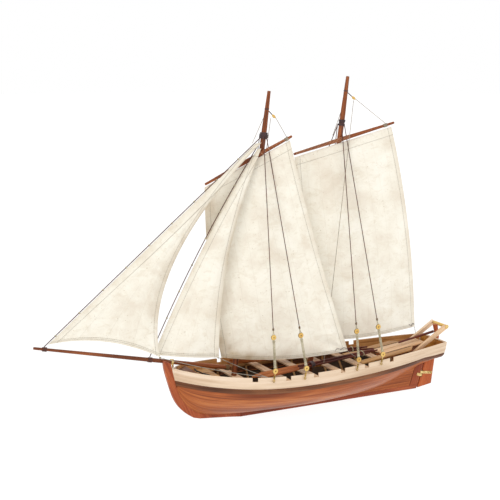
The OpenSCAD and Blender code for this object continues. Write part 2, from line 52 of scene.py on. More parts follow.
class Nodes:
    """Short way to write a node tree: each call adds a node and returns it."""

    def __init__(self, name):
        self.material = bpy.data.materials.new(name)
        self.material.use_nodes = True
        self.tree = self.material.node_tree
        self.shader = self.tree.nodes["Principled BSDF"]

    def add(self, kind, settings=(), **inputs):
        node = self.tree.nodes.new("ShaderNode" + kind)
        for key, value in dict(settings).items():
            setattr(node, key, value)
        for key, value in inputs.items():
            self.feed(node, key.replace("_", " "), value)
        return node

    def feed(self, node, key, value):
        socket = node.inputs[int(key[1:])] if key[1:].isdigit() else node.inputs[key]
        if isinstance(value, bpy.types.NodeSocket):
            self.tree.links.new(value, socket)
        else:
            socket.default_value = value

    def math(self, operation, a, b=0.0, c=None):
        node = self.add("Math", {"operation": operation}, i0=a, i1=b)
        if c is not None:
            self.feed(node, "i2", c)
        return node.outputs[0]

    def channels(self, uv):
        return self.add("SeparateXYZ", Vector=self.add("UVMap", {"uv_map": uv}).outputs[0]).outputs

    def coords(self, scale=(1, 1, 1), uv=None, turn=(0, 0, 0)):
        if uv is None:
            source = self.add("TexCoord").outputs["Object"]
        else:
            source = self.add("UVMap", {"uv_map": uv}).outputs[0]
        return self.add("Mapping", Vector=source, Scale=scale, Rotation=turn).outputs[0]

    def noise(self, where, scale=1.0, detail=3.0, rough=0.5, distortion=0.0):
        return self.add(
            "TexNoise", Vector=where, Scale=scale, Detail=detail, Roughness=rough, Distortion=distortion
        ).outputs[0]

    def ramp(self, value, *stops):
        node = self.add("ValToRGB", Fac=value)
        marks = node.color_ramp.elements
        while len(marks) < len(stops):
            marks.new(0.5)
        for mark, (place, colour) in zip(marks, stops):
            mark.position = place
            mark.color = colour
        return node.outputs[0]

    def grey(self, value, low, high, to_low=0.0, to_high=1.0):
        return self.add(
            "MapRange", {"interpolation_type": "SMOOTHSTEP"}, i0=value, i1=low, i2=high, i3=to_low, i4=to_high
        ).outputs[0]

    def mix(self, share, a, b):
        return self.add("Mix", {"data_type": "RGBA"}, i0=share, i6=a, i7=b).outputs[2]

    def surface(self, bump=None, distance=0.0002, **inputs):
        for key, value in inputs.items():
            self.feed(self.shader, key.replace("_", " "), value)
        if bump is not None:
            relief = self.add("Bump", Height=bump, Strength=1.0, Distance=distance)
            self.feed(self.shader, "Normal", relief.outputs[0])
        return self.material


def rgb(red, green, blue):
    """A colour seen on screen, 0 to 255, as the linear value that a shader takes."""
    parts = [c / 255 for c in (red, green, blue)]
    return tuple(((c + 0.055) / 1.055) ** 2.4 if c > 0.04045 else c / 12.92 for c in parts) + (1,)


def wood(name, dark, middle, light, figure, pores, rough, coat, streak):
    """Wood whose grain runs along the first coordinate of the grain map.

    figure bends the streaks, pores is how dark the pits are, streak is how close the lines run.
    """
    dark, middle, light = rgb(*dark), rgb(*middle), rgb(*light)
    n = Nodes(name)
    streaks = n.noise(n.coords((9, streak, 1), "grain"), 1.0, 6, 0.6, 0.6 * figure)
    cloud = n.noise(n.coords((6, 26, 1), "grain"), 1.0, 3, 0.5, 0.8)
    pore = n.noise(n.coords((150, 3800, 1), "grain"), 1.0, 2, 0.5)
    tone = n.math("MULTIPLY_ADD", cloud, 0.55, n.math("MULTIPLY", streaks, 0.45))
    colour = n.ramp(tone, (0.36, dark), (0.5, middle), (0.63, light))
    pits = n.grey(pore, 0.36, 0.47, 1.0, 0.0)
    colour = n.mix(n.math("MULTIPLY", pits, pores), colour, dark)
    relief = n.math("MULTIPLY_ADD", pits, -0.5, n.math("MULTIPLY", streaks, 0.35))
    gloss = n.grey(tone, 0.35, 0.65, rough + 0.08, rough - 0.06)
    return n.surface(
        relief, 0.00006, Base_Color=colour, Roughness=gloss, Coat_Weight=coat, Coat_Roughness=0.32,
        Specular_IOR_Level=0.25
    )


def sail_material():
    """Cream cotton: thread weave, soiling mixed with painted shade, painted shade in the creases, hem
    stitches and seams between cloths.
    """
    n = Nodes("sailcloth")
    threads = n.coords((1700, 1700, 1), "cloth")
    warp, weft = (
        n.add("TexWave", {"bands_direction": way}, Vector=threads, Scale=0.314, Distortion=1.2, Detail=1.0)
        for way in "XY"
    )
    weave = n.math("MAXIMUM", warp.outputs[1], weft.outputs[1])
    slub = n.noise(n.coords((90, 2400, 1), "cloth"), 1.0, 2)
    slub_up = n.noise(n.coords((2400, 90, 1), "cloth"), 1.0, 2)
    blotch = n.noise(n.coords(), 26.0, 5, 0.62, 0.4)
    crease = n.noise(n.coords((1, 1, 1.6)), 62.0, 6, 0.66, 1.6)
    luff, leech, _ = n.channels("sides")
    foot, head, _ = n.channels("ends")
    along_s, along_t, _ = n.channels("cloth")
    stitch_half_width, stitch_pitch = 0.00045, 0.0026
    hems = 0.0
    for distance, place, run in (
        (luff, 0.0078, along_t), (leech, 0.0062, along_t), (foot, 0.0050, along_s), (foot, 0.0028, along_s),
        (head, 0.0118, along_s),
    ):
        gap = n.math("ABSOLUTE", n.math("SUBTRACT", distance, place))
        line = n.grey(gap, stitch_half_width / 2, stitch_half_width, 1.0, 0.0)
        dashes = n.grey(n.math("FRACT", n.math("DIVIDE", run, stitch_pitch)), 0.62, 0.72, 1.0, 0.4)
        hems = n.math("MAXIMUM", hems, n.math("MULTIPLY", line, dashes))
    seam = n.math("ABSOLUTE", n.math("SUBTRACT", n.math("FRACT", n.channels("panels")[0]), 0.5))
    seams = n.grey(seam, 0.475, 0.492, 0.0, 1.0)
    edge = n.math("MINIMUM", n.math("MINIMUM", luff, leech), foot)
    cream = n.ramp(blotch, (0.32, rgb(231, 221, 204)), (0.52, rgb(242, 236, 221)), (0.68, rgb(247, 242, 229)))
    for share, strength, tint in (
        # painted shade: the cloth is tinted darker tan along the creases, on top of their bump
        (n.grey(crease, 0.50, 0.68), 0.4, (222, 210, 188)),
        # stains mixed with painted shade, laid out per sail in the shade map
        (n.channels("shade")[0], n.grey(blotch, 0.3, 0.62, 1.0, 0.62), (166, 138, 98)),
        (n.grey(edge, 0.0, 0.009, 1.0, 0.0), 0.22, (192, 174, 144)),
        (hems, 0.5, (134, 118, 92)),
        (seams, 0.12, (180, 165, 137)),
        (n.grey(n.noise(n.coords(), 420.0, 1), 0.73, 0.77), 0.5, (176, 156, 122)),
    ):
        cream = n.mix(n.math("MULTIPLY", share, strength), cream, rgb(*tint))
    relief = n.math("MULTIPLY", slub, 0.5)
    for height, strength in ((weave, 0.35), (slub_up, 0.5), (crease, 3.4), (hems, -1.4)):
        relief = n.math("MULTIPLY_ADD", height, strength, relief)
    return n.surface(
        relief, 0.00022, Base_Color=cream, Roughness=0.88, Sheen_Weight=0.25, Sheen_Roughness=0.5,
        Specular_IOR_Level=0.2,
    )


def rope(name, dark, light):
    """Laid cord: strands in the mesh, fibres and uneven colour in the nodes."""
    n = Nodes(name)
    fibre = n.noise(n.coords((300, 5200, 1), "grain", (0, 0, 0.5)), 1.0, 4, 0.6)
    patch = n.noise(n.coords(), 130.0, 3)
    tone = n.math("MULTIPLY_ADD", fibre, 0.6, n.math("MULTIPLY", patch, 0.4))
    colour = n.ramp(tone, (0.38, rgb(*dark)), (0.62, rgb(*light)))
    return n.surface(fibre, 0.00008, Base_Color=colour, Roughness=0.8, Sheen_Weight=0.15)


def metal(name, dull, bright, rough, metallic=1.0):
    """Metal with tarnish in patches and fine rubbing marks."""
    n = Nodes(name)
    patch = n.noise(n.coords(), 240.0, 5, 0.6)
    marks = n.noise(n.coords((400, 2600, 900)), 1.0, 2)
    colour = n.ramp(patch, (0.35, rgb(*dull)), (0.6, rgb(*bright)))
    gloss = n.math("MULTIPLY_ADD", patch, -0.2, rough + 0.14)
    return n.surface(marks, 0.00003, Base_Color=colour, Roughness=gloss, Metallic=metallic)


MAPLE = wood("maple", (200, 170, 140), (224, 199, 171), (235, 213, 190), 0.6, 0.16, 0.55, 0.05, 240)
SAPELE = wood("sapele", (118, 54, 20), (170, 90, 40), (200, 122, 62), 1.2, 0.4, 0.44, 0.1, 260)
CHERRY = wood("cherry", (140, 60, 20), (180, 86, 36), (206, 116, 60), 1.0, 0.4, 0.46, 0.1, 320)
STEM_WOOD = wood("stem_cherry", (104, 40, 16), (152, 68, 32), (186, 100, 54), 1.0, 0.4, 0.46, 0.1, 320)
WALE_WOOD = wood("wale_walnut", (74, 40, 20), (112, 66, 36), (144, 94, 58), 1.0, 0.5, 0.52, 0.05, 340)
WALNUT = wood("walnut", (74, 34, 14), (132, 68, 30), (172, 98, 50), 0.9, 0.6, 0.48, 0.08, 520)
DARK_WOOD = wood("oar_mahogany", (56, 20, 10), (106, 44, 26), (150, 74, 46), 0.9, 0.5, 0.46, 0.08, 420)
BLADE_WOOD = wood("blade_cherry", (116, 54, 24), (172, 98, 48), (204, 138, 78), 0.9, 0.4, 0.46, 0.1, 300)
ARM_WOOD = wood("arm_maple", (206, 164, 124), (230, 198, 162), (242, 216, 186), 0.7, 0.2, 0.52, 0.08, 260)
BEECH = wood("floor_beech", (190, 144, 100), (220, 178, 136), (232, 200, 162), 0.7, 0.25, 0.52, 0.05, 280)
GOLD_WOOD = wood("golden_teak", (122, 72, 20), (170, 108, 38), (202, 142, 64), 0.8, 0.3, 0.52, 0.05, 260)
PINK_WOOD = wood("beech", (172, 128, 92), (206, 168, 132), (224, 192, 160), 0.6, 0.35, 0.54, 0.05, 300)
TAN_WOOD = wood("limewood", (146, 100, 56), (192, 144, 90), (214, 170, 116), 0.7, 0.25, 0.52, 0.05, 260)
# Painted shade: very dark wood for the keelson, bottom boards, bottom lining and floor gaps, standing for the
# deep shade inside the hull
INNER_SHADE_WOOD = wood("inner_wood_painted_shade", (34, 22, 12), (64, 42, 22), (96, 66, 36), 0.9, 0.4, 0.6, 0.0, 280)
LINER_WOOD = wood("liner_teak", (150, 96, 46), (200, 142, 84), (222, 168, 112), 0.8, 0.3, 0.54, 0.0, 260)
BOXWOOD = wood("boxwood", (198, 150, 72), (228, 190, 106), (244, 216, 146), 0.5, 0.2, 0.4, 0.2, 500)
BRASS = metal("brass", (176, 140, 78), (236, 208, 146), 0.34)
BRASS_WIRE = metal("brass_wire", (128, 98, 40), (206, 172, 96), 0.34)
IRON = metal("blackened_iron", (20, 17, 16), (48, 40, 36), 0.5, 0.6)
TARRED = rope("tarred_cord", (40, 20, 14), (110, 60, 42))
LACING = rope("lacing_cord", (140, 96, 66), (206, 168, 134))
BROWN_CORD = rope("brown_cord", (52, 36, 20), (140, 108, 66))
HEMP = rope("hemp_cord", (142, 130, 100), (214, 204, 176))
SHEET_LINE = rope("sheet_line", (100, 94, 84), (176, 170, 156))
TWINE = rope("black_twine", (30, 18, 20), (88, 62, 62))
PURPLE_TWINE = rope("purple_twine", (84, 68, 72), (150, 128, 128))
GREY_LINE = rope("grey_line", (104, 88, 72), (176, 160, 138))
CLOTH = sail_material()


# ---------- mesh building


def runs_of(points):
    """Distance along the points up to each one."""
    runs = [0.0]
    for a, b in zip(points, points[1:]):
        runs.append(runs[-1] + (b - a).length)
    return runs


class Shape:
    """Points, faces and texture maps of one piece; points are in millimetres."""

    def __init__(self):
        self.points = []
        self.faces = []
        self.maps = {"grain": []}

    def grid(self, rows, along, across, caps=True):
        """Faces round rows of points, each row a closed ring. The two lists are grain distances."""
        start = len(self.points)
        m = len(rows[0])
        for row in rows:
            self.points.extend(Vector(p) for p in row)
        if len(across) == m:
            across = list(across) + [across[-1] + (across[-1] - across[-2])]
        for i in range(len(rows) - 1):
            for k in range(m):
                corners = ((i, k), (i, k + 1), (i + 1, k + 1), (i + 1, k))
                self.faces.append([start + a * m + b % m for a, b in corners])
                self.maps["grain"].append([(along[a] * MM, across[b] * MM) for a, b in corners])
        if caps:
            last = start + (len(rows) - 1) * m
            flat = [(across[k] * MM, across[k] * 0.37 * MM) for k in range(m)]
            self.faces += [[start + k for k in reversed(range(m))], [last + k for k in range(m)]]
            self.maps["grain"] += [flat[::-1], flat]
        return self

    def tube(self, route, radius, sides=12, lay=0.0, closed=False, offset=0.0):
        """Round bar along a route. lay is the length of one turn of its three strands."""
        route = [Vector(p) for p in route]
        n = len(route)
        radii = radius if isinstance(radius, (list, tuple)) else [radius] * n
        runs = runs_of(route)
        side = None
        rows = []
        for i, p in enumerate(route):
            ahead = route[(i + 1) % n] if closed else route[min(i + 1, n - 1)]
            behind = route[i - 1] if closed else route[max(i - 1, 0)]
            tangent = (ahead - behind).normalized()
            if side is None:
                other = Vector((0, 0, 1)) if abs(tangent.z) < 0.8 else Vector((1, 0, 0))
                side = tangent.cross(other)
            side = (side - tangent * side.dot(tangent)).normalized()
            up = tangent.cross(side)
            phase = TAU * runs[i] / lay if lay else 0.0
            row = []
            for k in range(sides):
                a = TAU * k / sides
                r = radii[i]
                if lay:
                    r *= 0.84 + 0.2 * abs(math.cos(1.5 * (a - phase)))
                row.append(p + r * (math.cos(a) * side + math.sin(a) * up))
            rows.append(row)
        around = [TAU * max(radii) * k / sides for k in range(sides + 1)]
        if closed:
            rows.append(rows[0])
            runs.append(runs[-1] + (route[0] - route[-1]).length)
        return self.grid(rows, [r + offset for r in runs], around, caps=not closed)


def place(name, mesh, bm, material, node, body, slot, smooth):
    """Makes an object of the edited mesh; edges sharper than smooth degrees stay crisp."""
    for face in bm.faces:
        face.smooth = True
    for edge in bm.edges:
        edge.smooth = len(edge.link_faces) == 2 and edge.calc_face_angle(0) < math.radians(smooth)
    bm.to_mesh(mesh)
    bm.free()
    mesh.materials.append(material)
    obj = bpy.data.objects.new(name, mesh)
    bpy.context.collection.objects.link(obj)
    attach(obj, body)
    if node:
        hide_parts(node)
    return obj


def piece(name, shape, material, node=None, body="hull", slot="light_wood", smooth=40.0, weld=False):
    """Turns a shape into an object that rides a body and may stand for a CAD node."""
    mesh = bpy.data.meshes.new(name)
    mesh.from_pydata([p * MM for p in shape.points], [], shape.faces)
    for key, corners in shape.maps.items():
        layer = mesh.uv_layers.new(name=key)
        layer.data.foreach_set("uv", [c for face in corners for uv in face for c in uv])
    bm = bmesh.new()
    bm.from_mesh(mesh)
    if weld:
        bmesh.ops.remove_doubles(bm, verts=bm.verts, dist=1e-7)
    bmesh.ops.recalc_face_normals(bm, faces=bm.faces)
    return place(name, mesh, bm, material, node, body, slot, smooth)


def separate_solids(bm):
    """Lists of the vertices that hang together, in the mesh's own order."""
    seen = set()
    for first in bm.verts:
        if first in seen:
            continue
        seen.add(first)
        found = [first]
        for vert in found:
            for other in (edge.other_vert(vert) for edge in vert.link_edges):
                if other not in seen:
                    seen.add(other)
                    found.append(other)
        yield found


def eased(node, material, axis=(1, 0, 0), width=0.3, body="hull", slot="light_wood", name=None, keep=None):
    """The CAD node's own shape with its edges broken and a grain along axis.

    keep picks some of its separate solids, by the middle and the size of each one's box.
    """
    bm = bmesh.new()
    bm.from_mesh(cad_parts[node].data)
    bmesh.ops.remove_doubles(bm, verts=bm.verts, dist=2e-6)
    if keep:
        for solid in list(separate_solids(bm)):
            low, high = (Vector(f(v.co[k] for v in solid) for k in range(3)) / MM for f in (min, max))
            if not keep((low + high) / 2, high - low):
                bmesh.ops.delete(bm, geom=solid, context="VERTS")
    bmesh.ops.dissolve_limit(bm, angle_limit=math.radians(2), verts=bm.verts, edges=bm.edges)
    bmesh.ops.recalc_face_normals(bm, faces=bm.faces)
    sharp = [e for e in bm.edges if len(e.link_faces) == 2 and e.calc_face_angle(0) > math.radians(35)]
    bmesh.ops.bevel(
        bm, geom=sharp, offset=width * MM, segments=2, profile=0.6, affect="EDGES", clamp_overlap=True
    )
    bmesh.ops.triangulate(bm, faces=[f for f in bm.faces if len(f.verts) > 4])
    grain = bm.loops.layers.uv.new("grain")
    axis = Vector(axis).normalized()
    other = axis.cross(Vector((0, 0, 1)) if abs(axis.z) < 0.8 else Vector((0, 1, 0))).normalized()
    third = axis.cross(other)
    for face in bm.faces:
        for loop in face.loops:
            p = loop.vert.co
            loop[grain].uv = (p.dot(axis), p.dot(other) + 0.61 * p.dot(third))
    name = (name or node) + "_finish"
    return place(name, bpy.data.meshes.new(name), bm, material, node, body, slot, 32)


def lerp(a, b, t):
    return a + (b - a) * t


def path(points, step):
    """Straight runs through the points, cut into short lengths."""
    points = [Vector(p) for p in points]
    route = []
    for a, b in zip(points, points[1:]):
        n = max(1, round((b - a).length / step))
        route.extend(lerp(a, b, i / n) for i in range(n))
    return route + [points[-1]]


def curve(points, step):
    """A smooth curve through the points (Catmull-Rom)."""
    points = [Vector(p) for p in points]
    ends = [points[0] * 2 - points[1]] + points + [points[-1] * 2 - points[-2]]
    route = []
    for i in range(1, len(ends) - 2):
        p0, p1, p2, p3 = ends[i - 1 : i + 3]
        n = max(1, round((p2 - p1).length / step))
        for k in range(n):
            t = k / n
            route.append(
                0.5 * (2 * p1 + (p2 - p0) * t + (2 * p0 - 5 * p1 + 4 * p2 - p3) * t**2
                       + (3 * p1 - p0 - 3 * p2 + p3) * t**3)
            )
    return route + [points[-1]]


def circle(at, side, up, n):
    """n points round a circle, given two of its radii."""
    return [at + (math.cos(TAU * k / n) * side + math.sin(TAU * k / n) * up) for k in range(n)]


def winding(shape, a, b, radius, wire, turns=None, squash=1.0):
    """Cord wound round the line from a to b, its turns side by side."""
    a, b = Vector(a), Vector(b)
    axis = (b - a).normalized()
    side = axis.cross(Vector((0, 1, 0)) if abs(axis.y) < 0.8 else Vector((1, 0, 0))).normalized()
    up = axis.cross(side)
    turns = turns or max(1, round((b - a).length / wire))
    n = round(turns * 18)
    route = []
    for i in range(n + 1):
        t, angle = i / n, TAU * turns * i / n
        grow = radius(t) if callable(radius) else radius
        route.append(lerp(a, b, t) + grow * (math.cos(angle) * side + squash * math.sin(angle) * up))
    shape.tube(route, wire / 2, 8)


def knot(shape, at, size, wire):
    """Small lump of three crossed turns."""
    at = Vector(at)
    for axis in ((1, 0.3, 0.2), (0.2, 1, 0.4), (0.3, 0.2, 1)):
        axis = Vector(axis).normalized()
        side = axis.orthogonal().normalized()
        up = axis.cross(side)
        shape.tube(circle(at, size * side, size * up, 14), wire / 2, 6, closed=True)


# ---------- hull lines

HALF_BEAM, RAIL_MID = 67, 69.2
PLANK, STRAKE, WALE, WALE_PROUD = 1.6, 16.8, 7.2, 0.9
KEEL_DEPTH, HALF_KEEL = 6.4, 3
NOTCH_W, NOTCH_DEPTH = 8, 6
NOTCH_X = [117, 68, 24, -21, -63, -110]
STEM_RABBET = [(6.4, 112), (8, 142), (11, 165), (16, 180), (23, 190), (31, 198), (43, 205.5),
               (57, 211), (67, 213.5), (79, 216.5), (90, 218.5)]
STERN_RABBET = [(6.4, -179.5), (12, -181.5), (27, -186.5), (36, -190), (41, -197),
                (44, -207.1), (49, -216.5), (54, -221.3), (62, -223.9), (78, -227.3)]
FULLNESS = [(-227, 4), (-206, 3.4), (-190, 2.5), (-180, 2.3), (-100, 2.8), (0, 3.4), (100, 3), (160, 2),
            (218, 1.3)]
HOLLOW = [(-227, 0.85), (-206, 0.85), (-190, 1.3), (-180, 1.6), (-100, 1.15), (0, 0.76), (100, 0.8),
          (160, 0.95), (218, 1.1)]


def smooth(table, x):
    """One smooth curve through (key, value) pairs."""
    n = len(table)
    i = next((i for i in range(n - 2) if x <= table[i + 1][0]), n - 2)

    def slope(k):
        a, b = table[max(k - 1, 0)], table[min(k + 1, n - 1)]
        return (b[1] - a[1]) / (b[0] - a[0])

    h = table[i + 1][0] - table[i][0]
    u = min(max((x - table[i][0]) / h, 0), 1)
    return (
        (2 * u**3 - 3 * u**2 + 1) * table[i][1] + (u**3 - 2 * u**2 + u) * h * slope(i)
        + (3 * u**2 - 2 * u**3) * table[i + 1][1] + (u**3 - u**2) * h * slope(i + 1)
    )


def rabbet_z(x):
    return KEEL_DEPTH if x < 112 else smooth([(b, a) for a, b in STEM_RABBET], x)


def rail_z(x):
    u = (x + 2.75) / 222.65
    return RAIL_MID - 2.1 * u + 11.4 * u**2 + 6.3 * u**3


def rail_y(x):
    if x > 40:
        return 3 + (HALF_BEAM - 3) * (1 - min((x - 40) / 172, 1) ** 2.2) ** 0.7
    return HALF_BEAM - 34.8 * ((40 - x) / 265.4) ** 2.2


def foot_z(x):
    return rabbet_z(x) if x > -40 else KEEL_DEPTH + 37.6 * (min(-40 - x, 166) / 166) ** 3


def hull_y(x, z):
    s = min(max((z - foot_z(x)) / (rail_z(x) - foot_z(x)), 0), 1)
    return HALF_KEEL + (rail_y(x) - HALF_KEEL) * (1 - (1 - s) ** smooth(FULLNESS, x)) ** smooth(HOLLOW, x)


def skin(x, z, depth, side):
    """Point of the hull's side moved inward by depth; side is 1 to port, -1 to starboard."""
    dx = hull_y(x + 0.5, z) - hull_y(x - 0.5, z)
    dz = hull_y(x, z + 0.5) - hull_y(x, z - 0.5)
    normal = Vector((-dx, 1, -dz)).normalized()
    p = Vector((x, hull_y(x, z), z)) - depth * normal
    p.y *= side
    return p


def row_z(x, row, bottom):
    """Height of a row: a share of the bottom's girth, or millimetres below the rail."""
    if bottom:
        return rabbet_z(x) + (rail_z(x) - STRAKE - WALE - rabbet_z(x)) * row
    return rail_z(x) - row


def row_end(row, bottom, table, x):
    """Where a row meets the stem's or the sternpost's rabbet, found from a first guess."""
    if bottom and table is STEM_RABBET:
        return 210.5
    for _ in range(5):
        x = smooth(table, row_z(x, row, bottom))
    return x


def plank(shape, low, high, bottom, side, number, proud=0.0, start=None, end=None, stations=90, edge=0.22):
    """One plank between two rows of the hull, with its edges broken; number sets its grain apart."""
    inside = PLANK - 0.02
    profile = [(0, edge), (0.05, 0), (0.25, 0), (0.5, 0), (0.75, 0), (0.95, 0), (1, edge)]
    if proud:
        profile = [(0, 0.75), (0.08, 0.3), (0.2, 0.06), (0.5, 0), (0.8, 0.06), (0.92, 0.3), (1, 0.75)]
    rows = []
    along = []
    for i in range(stations + 1):
        u = i / stations
        if start is None:
            u = u**1.4
        ring = []
        for share, depth in profile + [(1, None), (0.5, None), (0, None)]:
            row = lerp(low, high, share)
            a = row_end(row, bottom, STEM_RABBET, 214) if start is None else start
            b = row_end(row, bottom, STERN_RABBET, -215) if end is None else end
            x = lerp(a, b, u)
            ring.append(skin(x, row_z(x, row, bottom), inside if depth is None else depth - proud, side))
        rows.append(ring)
        along.append(-ring[3].x)
    middle = rows[len(rows) // 2]
    across = runs_of(middle + middle[:1])
    shape.grid(rows, [a + 31.0 * number for a in along], [a + 137.0 * number for a in across])


LINING_BACK, SHEER_FACE, BOTTOM_FACE = 2.3, 2.75, 2.7


def veneer(shape, side, a, b, n, height, ring, pitch):
    """Thin sheet on the inner face of the planks from x = a to b; height gives z from x and a share."""
    rows = []
    for i in range(n + 1):
        x = lerp(a, b, i / n)
        rows.append([skin(x, height(x, share), depth, side) for share, depth in ring])
    shape.grid(rows, [-r[1].x for r in rows], [k * pitch for k in range(len(ring) + 1)])


def lining(side, name, cuts):
    """A pale veneer inside the sheer strake and a dark one inside the bottom, whose darkness is painted
    shade.
    """
    pale = Shape()
    ring = [(0, LINING_BACK)] + [(share, SHEER_FACE) for share in (0, 0.5, 1)]
    ring += [(1, LINING_BACK), (0.5, LINING_BACK)]
    bands = [(STRAKE + 0.5, NOTCH_DEPTH + 0.2, None, None)]
    bands += [(NOTCH_DEPTH + 0.2, 0.35, cuts[k], cuts[k + 1]) for k in range(0, len(cuts), 2)]
    for low, high, start, end in bands:
        a = 205.0 if start is None else start - 0.3
        b = -220.0 if end is None else end + 0.3
        veneer(pale, side, a, b, max(6, round((a - b) / 6)),
               lambda x, share: rail_z(x) - lerp(low, high, share), ring, 4.0)
    piece(f"sheer_lining_{name}", pale, LINER_WOOD, f"sheer_strake_{name}")
    dark = Shape()
    ring = [(0.2, LINING_BACK)] + [(share, BOTTOM_FACE) for share in (0.2, 0.4, 0.7, 0.98)]
    ring += [(0.98, LINING_BACK), (0.5, LINING_BACK)]
    veneer(dark, side, 176, -146, 60, lambda x, share: row_z(x, share, True), ring, 9.0)
    piece(f"bilge_lining_{name}", dark, INNER_SHADE_WOOD, f"bottom_planking_{name}", slot="brown_wood")


def planking(side, name):
    """Bottom planks, wale, sheer strake with its cut notches, and the lining of one side."""
    strakes = 8
    bottom = Shape()
    for k in range(strakes):
        low, high = (k / strakes) ** 2, ((k + 1) / strakes) ** 2
        plank(bottom, low, high, True, side, k + 9 * (side > 0), edge=0.1)
    piece(f"bottom_planks_{name}", bottom, SAPELE, f"bottom_planking_{name}", slot="red_wood")
    wale = Shape()
    plank(wale, STRAKE + WALE, STRAKE, False, side, 3, proud=WALE_PROUD)
    piece(f"wale_{name}_rubbed", wale, WALE_WOOD, f"wale_{name}", slot="brown_wood")
    sheer = Shape()
    plank(sheer, STRAKE, NOTCH_DEPTH, False, side, 5)
    cuts = [None] + [x + s * NOTCH_W / 2 for x in NOTCH_X for s in (1, -1)] + [None]
    for k in range(0, len(cuts), 2):
        plank(sheer, NOTCH_DEPTH, 0, False, side, 7, start=cuts[k], end=cuts[k + 1], stations=24)
    piece(f"sheer_planks_{name}", sheer, MAPLE, f"sheer_strake_{name}")
    lining(side, name, cuts)


SIDES = ((1, "port"), (-1, "starboard"))
for side, name in SIDES:
    planking(side, name)


# ---------- timbers

AFT_RAKE = (-0.3, 0, 1)
eased("keel", STEM_WOOD, slot="red_wood")
eased("stem", STEM_WOOD, (0.45, 0, 1), 0.5, slot="red_wood")
eased("sternpost", STEM_WOOD, AFT_RAKE, slot="red_wood")
eased("keelson", INNER_SHADE_WOOD, slot="red_wood")
eased("ribs", TAN_WOOD, (0, 0.5, 1), 0.2)
eased("transom", GOLD_WOOD, (0, 1, 0), slot="red_wood")
top = rail_z(-226)
stern_x, stern_y = smooth(STERN_RABBET, top), hull_y(-226, top) - PLANK - 0.5
capping = Shape()
outline = [(-0.1, 0.1), (0.2, 0.45), (2.8, 0.45), (3.4, 0.1), (3.4, -0.5), (-0.1, -0.5)]
capping.grid([[(stern_x + 0.7 + x, stern_y * k / 12, top + z) for x, z in outline] for k in range(-12, 13)],
             [3.0 * k for k in range(25)], [1.2 * k for k in range(7)])
piece("transom_capping", capping, MAPLE, smooth=50)
eased("breasthook", WALE_WOOD, (0, 1, 0), slot="brown_wood")
eased("risers", TAN_WOOD, width=0.2)
eased("bottom_boards", INNER_SHADE_WOOD, width=0.25)
eased("bow_platform", TAN_WOOD, width=0.25)
eased("thwarts", PINK_WOOD, (0, 1, 0))
eased("mast_partner", GOLD_WOOD)
eased("stern_floor", BEECH, width=0.25, name="stern_floor_middle",
      keep=lambda middle, size: size.y < 14 and abs(middle.y) < 14)
eased("stern_floor", TAN_WOOD, width=0.25, name="stern_floor_sides",
      keep=lambda middle, size: size.y > 14 or abs(middle.y) > 14)
# Dark slips that close the two gaps in the stern floor, just below its sloping top: painted shade for the
# shadow down in the gaps
FLOOR_Z, FLOOR_FRONT, FLOOR_SLOPE, GAP_SHADE_DROP = 66.8, -122, 0.12, 0.5
gap_shade_slips = Shape()
for side in (1, -1):
    rows = []
    for k in range(17):
        x = lerp(-173, -123, k / 16)
        z = FLOOR_Z - FLOOR_SLOPE * (x - FLOOR_FRONT) - GAP_SHADE_DROP
        section = ((13.6, z), (16.2, z), (16.2, z - 0.7), (13.6, z - 0.7))
        rows.append([(x, side * y, height) for y, height in section])
    gap_shade_slips.grid(rows, [3.1 * k for k in range(17)], [0.0, 2.6, 3.3, 5.9, 6.6])
piece("stern_floor_gap_shade", gap_shade_slips, INNER_SHADE_WOOD, "stern_floor", slot="brown_wood")
eased("mast_steps", WALE_WOOD, slot="brown_wood")
eased("rudder", CHERRY, AFT_RAKE, 0.4, body="rudder", slot="red_wood")
eased("davit_arms", ARM_WOOD, (-0.85, 0, 0.52), 0.4)
eased("davit_roller", BOXWOOD, (0, 1, 0), 0.5, body="roller", slot="boxwood")
for node in ("gammon_iron", "chain_eyes", "gudgeons", "pintles", "davit_axle"):
    eased(node, BRASS, width=0.08, body="rudder" if node == "pintles" else "hull", slot="brass")


# ---------- masts and spars

MAST_RAKE = math.tan(math.radians(7.9))
FORE_FOOT, MAIN_FOOT = Vector((127.4, 0, 14)), Vector((2.4, 0, 14))
FORE_TOP, MAIN_TOP = 462, 480
FORE_YARD = [Vector((149.6, -31, 333)), Vector((42.5, 25, 400.5))]
MAIN_YARD = [Vector((19, -11.6, 371)), Vector((-126, 25.5, 413.5))]
SPRIT = [Vector((122, -10, 70.5)), Vector((412.5, 0, 137))]


def mast_at(foot, z, side=0.0):
    return Vector((foot.x - (z - foot.z) * MAST_RAKE, side, z))


def sprit_at(x):
    return lerp(SPRIT[0], SPRIT[1], (x - SPRIT[0].x) / (SPRIT[1].x - SPRIT[0].x))


def spar(name, ends, radius, node, offset, material=WALNUT, body="hull"):
    """Round spar with eased ends; radius is a function of the share of its length."""
    a, b = ends
    length = (b - a).length
    shares = [0, 0.25 / length, 0.7 / length]
    shares += [i / 60 for i in range(1, 60)] + [1 - t for t in reversed(shares)]
    radii = [radius(t) for t in shares]
    for i, k in ((0, 0.72), (1, 0.9), (2, 0.98)):
        radii[i] *= k
        radii[-1 - i] *= k
    shape = Shape().tube([lerp(a, b, t) for t in shares], radii, 32, offset=offset)
    return piece(name, shape, material, node, body, slot="spar_wood")


def mast_radius(t, foot_r=3.9, hounds=0.885, topmast_taper=1.3):
    """Nearly straight up to the hounds, then tapered to the top; t is the share of the length."""
    return foot_r - 0.2 * min(t / hounds, 1) - topmast_taper * max((t - hounds) / (1 - hounds), 0)


def tapered(middle, taper):
    """Radius of a yard, which is thickest at mid length."""
    return lambda t: middle - taper * abs(2 * t - 1)


